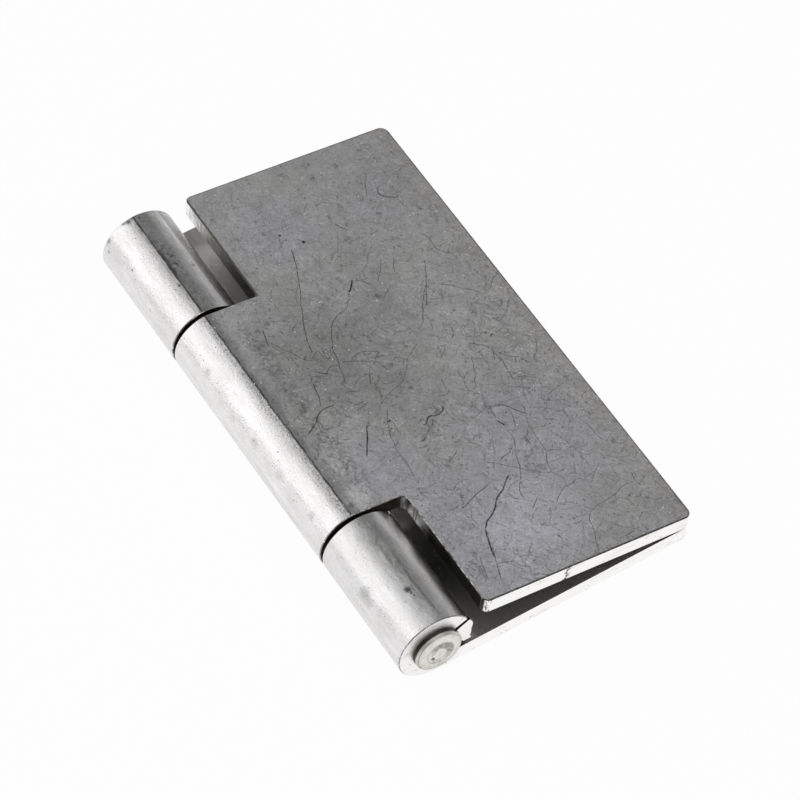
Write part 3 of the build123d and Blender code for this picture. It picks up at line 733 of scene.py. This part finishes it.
def pin_steel():
    """Turned pin: pale head with a brown staking ring, painted shade on the head's side and a painted
    highlight towards the head's end.
    """
    m, t = material("pin_steel_worn_and_shaded")
    coords = put(t, "ShaderNodeTexCoord").outputs
    place = vec(t, "SCALE", coords["Object"], scale=1000.0)
    x, y, z = split(t, place)
    ny = calc(t, "ABSOLUTE", split(t, coords["Normal"])[1])
    flat_place = vec(t, "MULTIPLY", place, (1.0, 0.0, 1.0))
    from_axis = vec(t, "LENGTH", flat_place)
    ragged = noise(t, place, 1.1, 4.0, 0.65)
    from_stake = calc(t, "MULTIPLY_ADD", ragged, 0.5, -0.25)
    from_stake = calc(t, "ADD", vec(t, "DISTANCE", flat_place, STAKE), from_stake)
    heavier = span(t, calc(t, "ADD", x, z), -1.8, 1.0)
    blotted = span(t, noise(t, shifted(t, place, 4.0), 1.8, 5.0, 0.75), 0.38, 0.52, 0.3, 1.0)
    ring = highest(t, product(t, band(t, from_stake, 1.9, 0.5, 0.5), heavier, blend(t, blotted, 0.2, 1.0)),
                   product(t, band(t, from_stake, 2.4, 0.05, 0.16), blend(t, blotted, 0.2, 0.6)),
                   product(t, band(t, from_stake, 1.5, 0.05, 0.16), blend(t, blotted, 0.1, 0.5)))
    turning = noise(t, put(t, "ShaderNodeCombineXYZ", {0: from_axis}).outputs[0], 3.0, 3.0)
    face = mix(t, turning, grey(0.7, (1.0, 0.985, 0.95)), grey(0.86, (1.0, 0.985, 0.955)))
    face = mix(t, span(t, ragged, 0.45, 0.7, 0.0, 0.4), face, grey(0.45, BROWN))
    face = mix(t, product(t, span(t, from_axis, 3.3, 4.2), blotted, 0.35), face, grey(0.35, BROWN))
    rusty = product(t, span(t, calc(t, "ADD", x, z), -1.0, -4.0), span(t, ragged, 0.35, 0.6), 0.5)
    face = mix(t, rusty, face, grey(0.5, (1.12, 0.98, 0.86)))
    face = mix(t, product(t, ring, 0.8), face, grey(0.24, (1.0, 0.97, 0.82)))
    outer_line = product(t, band(t, from_axis, 4.12, 0.04, 0.08), blend(t, heavier, 0.55, 0.2))
    face = mix(t, outer_line, face, grey(0.12, BROWN))
    # painted shade of the punch mark's pit: a near-black dot; y is left out, so it falls on both heads
    from_pit = vec(t, "DISTANCE", flat_place, PIT)
    face = mix(t, span(t, from_pit, 0.2, 0.42, 0.95, 0.0), face, grey(0.03, BROWN))
    # painted shade on the head's side next to the knuckle, turning to a painted highlight towards the
    # head's end
    side_on = span(t, ny, 0.35, 0.5, 1.0, 0.0)
    side_shade_to_highlight = calc(t, "MULTIPLY_ADD", ragged, 0.3, calc(t, "ABSOLUTE", y))
    side_shade_to_highlight = span(t, side_shade_to_highlight, HALF_LENGTH + 0.85, HALF_LENGTH + 1.0)
    painted_side_shading = mix(t, side_shade_to_highlight, grey(0.05, BROWN), grey(0.62, WARM))
    face = mix(t, side_on, face, painted_side_shading)
    rough = calc(t, "MULTIPLY_ADD", ragged, 0.15, 0.32)
    steel_output(t, face, 1.0, rough, turning, 0.00002)
    return m


def dress(node, m):
    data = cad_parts[node].data
    data.materials.clear()
    data.materials.append(m)


dress("upper_leaf", leaf_steel("upper_leaf_steel", CLOSED, UPPER_FACE, 1.0))
dress("lower_leaf", leaf_steel("lower_leaf_steel", 0.0, BARREL_R, -1.0))
dress("hinge_pin", pin_steel())


# floor and world

FLOOR_GLOW = 0.965  # how much of the floor's white is its own where it is seen directly


def seen_directly(tree):
    """1 for rays from the camera and for mirror or glass rays, 0 for lighting."""
    path = put(tree, "ShaderNodeLightPath").outputs
    return highest(tree, path["Is Camera Ray"], path["Is Glossy Ray"], path["Is Transmission Ray"])


floor_mesh = bpy.data.meshes.new("floor")
floor_mesh.from_pydata([(-3, -3, FLOOR), (3, -3, FLOOR), (3, 3, FLOOR), (-3, 3, FLOOR)], [], [(0, 1, 2, 3)])
floor = bpy.data.objects.new("floor", floor_mesh)
scene.collection.objects.link(floor)
m, t = material("pale_floor")
paper = put(t, "ShaderNodeBsdfDiffuse", {"Color": grey(0.9)}).outputs[0]
glow = put(t, "ShaderNodeEmission", {"Color": grey(1.0), "Strength": 1.0}).outputs[0]
share = calc(t, "MULTIPLY", seen_directly(t), FLOOR_GLOW)
white = put(t, "ShaderNodeMixShader", {0: share, 1: paper, 2: glow}).outputs[0]
put(t, "ShaderNodeOutputMaterial", {"Surface": white})
floor_mesh.materials.append(m)

world = bpy.data.worlds.new("studio")
scene.world = world
world.use_nodes = True
world.node_tree.nodes.clear()
t = world.node_tree
east, north, up = split(t, put(t, "ShaderNodeTexCoord").outputs["Generated"])
sky = span(t, up, 0.0, 0.62, 0.55, 0.18)
sky = product(t, sky, span(t, north, -0.5, 0.3, 0.6, 1.0))
path = put(t, "ShaderNodeLightPath").outputs
strength = blend(t, path["Is Camera Ray"], sky, 1.0)
background = put(t, "ShaderNodeBackground", {"Color": grey(1.0), "Strength": strength}).outputs[0]
put(t, "ShaderNodeOutputWorld", {"Surface": background})


# lamps

def softbox(name, direction, distance, size, radiance):
    lamp = bpy.data.lights.new(name, "AREA")
    lamp.shape = "SQUARE"
    lamp.size = size
    lamp.energy = radiance * pi * size * size
    lamp.color = NEUTRAL
    o = bpy.data.objects.new(name, lamp)
    d = Vector(direction).normalized()
    o.location = d * distance
    o.rotation_euler = d.to_track_quat("Z", "Y").to_euler()
    scene.collection.objects.link(o)


softbox("softbox_left", (-0.66, 0.51, 0.55), 1.0, 0.85, 0.6)
softbox("softbox_left_spill", (-0.55, 0.51, 0.66), 1.0, 1.45, 0.46)
softbox("softbox_top", (0.1, -0.45, 0.88), 1.5, 2.0, 1.0)

# camera

AZIMUTH, ELEVATION, ROLL = radians(-29.5438), radians(53.9458), radians(-2.138)
TARGET = Vector((0.0234725, 0.0001918, FLOOR))
DISTANCE = 0.745356
FOCAL_PIXELS = 4317.13
SENSOR = 36.0
FRAME_PIXELS = 800.0

back = Vector((sin(AZIMUTH) * cos(ELEVATION), -cos(AZIMUTH) * cos(ELEVATION), sin(ELEVATION)))
right = Vector((cos(AZIMUTH), sin(AZIMUTH), 0.0))
upward = back.cross(right)
right, upward = right * cos(ROLL) + upward * sin(ROLL), upward * cos(ROLL) - right * sin(ROLL)

lens = bpy.data.cameras.new("camera")
lens.sensor_width = SENSOR
lens.lens = FOCAL_PIXELS * SENSOR / FRAME_PIXELS
lens.clip_start = 0.01
lens.dof.use_dof = False
camera = bpy.data.objects.new("camera", lens)
turn = Matrix((right, upward, back)).transposed().to_4x4()
camera.matrix_world = Matrix.Translation(TARGET + back * DISTANCE) @ turn
scene.collection.objects.link(camera)
scene.camera = camera

scene.view_settings.view_transform = "Standard"
